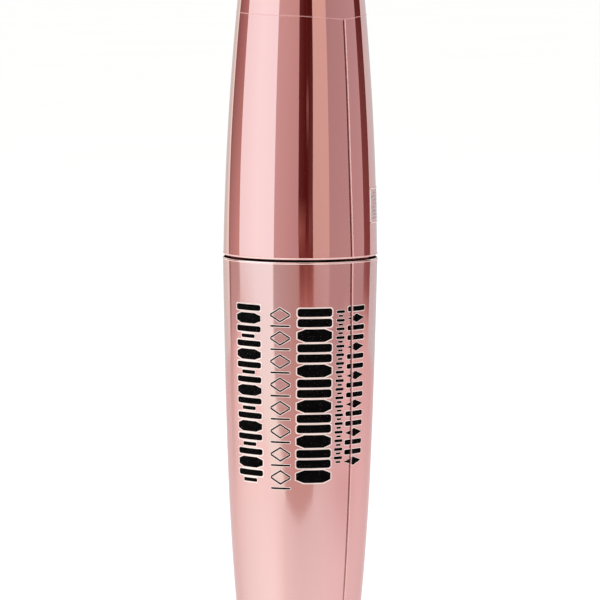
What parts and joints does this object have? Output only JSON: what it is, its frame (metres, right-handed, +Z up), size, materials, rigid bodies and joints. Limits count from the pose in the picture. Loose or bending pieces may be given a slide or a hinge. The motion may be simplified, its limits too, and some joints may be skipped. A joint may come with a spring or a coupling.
{
  "type": "mascara tube",
  "caption": "Spindle-shaped mascara tube: a plated bottle with a wiper neck and a screw cap that carries the rod and spiral brush, wrapped in clear film.",
  "frame": {"origin": "middle of the flat base that the tube stands on", "axes": "+Z up the tube's axis towards the top of the cap; -Y is the front, which carries the print"},
  "size_m": [0.0192, 0.0192, 0.12],
  "materials": {
    "bottle_plating": "satin metallised, rose pink",
    "cap_plating": "mirror metallised, rose pink",
    "film": "clear shrink film",
    "inner_bottle": "moulded, dark",
    "inner_cap": "moulded, black",
    "wiper": "soft, black",
    "paste": "wet black paste",
    "washer": "soft white foam",
    "rod": "moulded, black",
    "wire": "drawn stainless wire",
    "bristles": "black nylon fibre"
  },
  "bodies": {
    "bottle": {"bottle_shell": "bottle_plating", "inner_bottle": "inner_bottle", "wiper": "wiper", "bottle_film": "film"},
    "paste": {"mascara_paste": "paste"},
    "washer": {"seal_washer": "washer"},
    "cap": {"cap_shell": "cap_plating", "inner_cap": "inner_cap", "rod": "rod", "brush_wire": "wire", "bristles": "bristles", "cap_film": "film"}
  },
  "joints": [
    {"name": "thread_rise", "type": "slide", "parent": "bottle", "child": "paste", "axis": [0, 0, 1], "range_m": [0, 0.0038]},
    {"name": "wand_pull", "type": "slide", "parent": "paste", "child": "washer", "axis": [0, 0, 1], "range_m": [0, 0.08], "deforming": ["bristles"]},
    {"name": "cap_turn", "type": "hinge", "parent": "washer", "child": "cap", "pos_m": [0, 0, 0.0684], "axis": [0, 0, 1], "range_deg": [0, 540]}
  ],
  "couplings": [
    {"joint": "thread_rise", "follows": "cap_turn", "m_per_rad": 0.00039789}
  ]
}
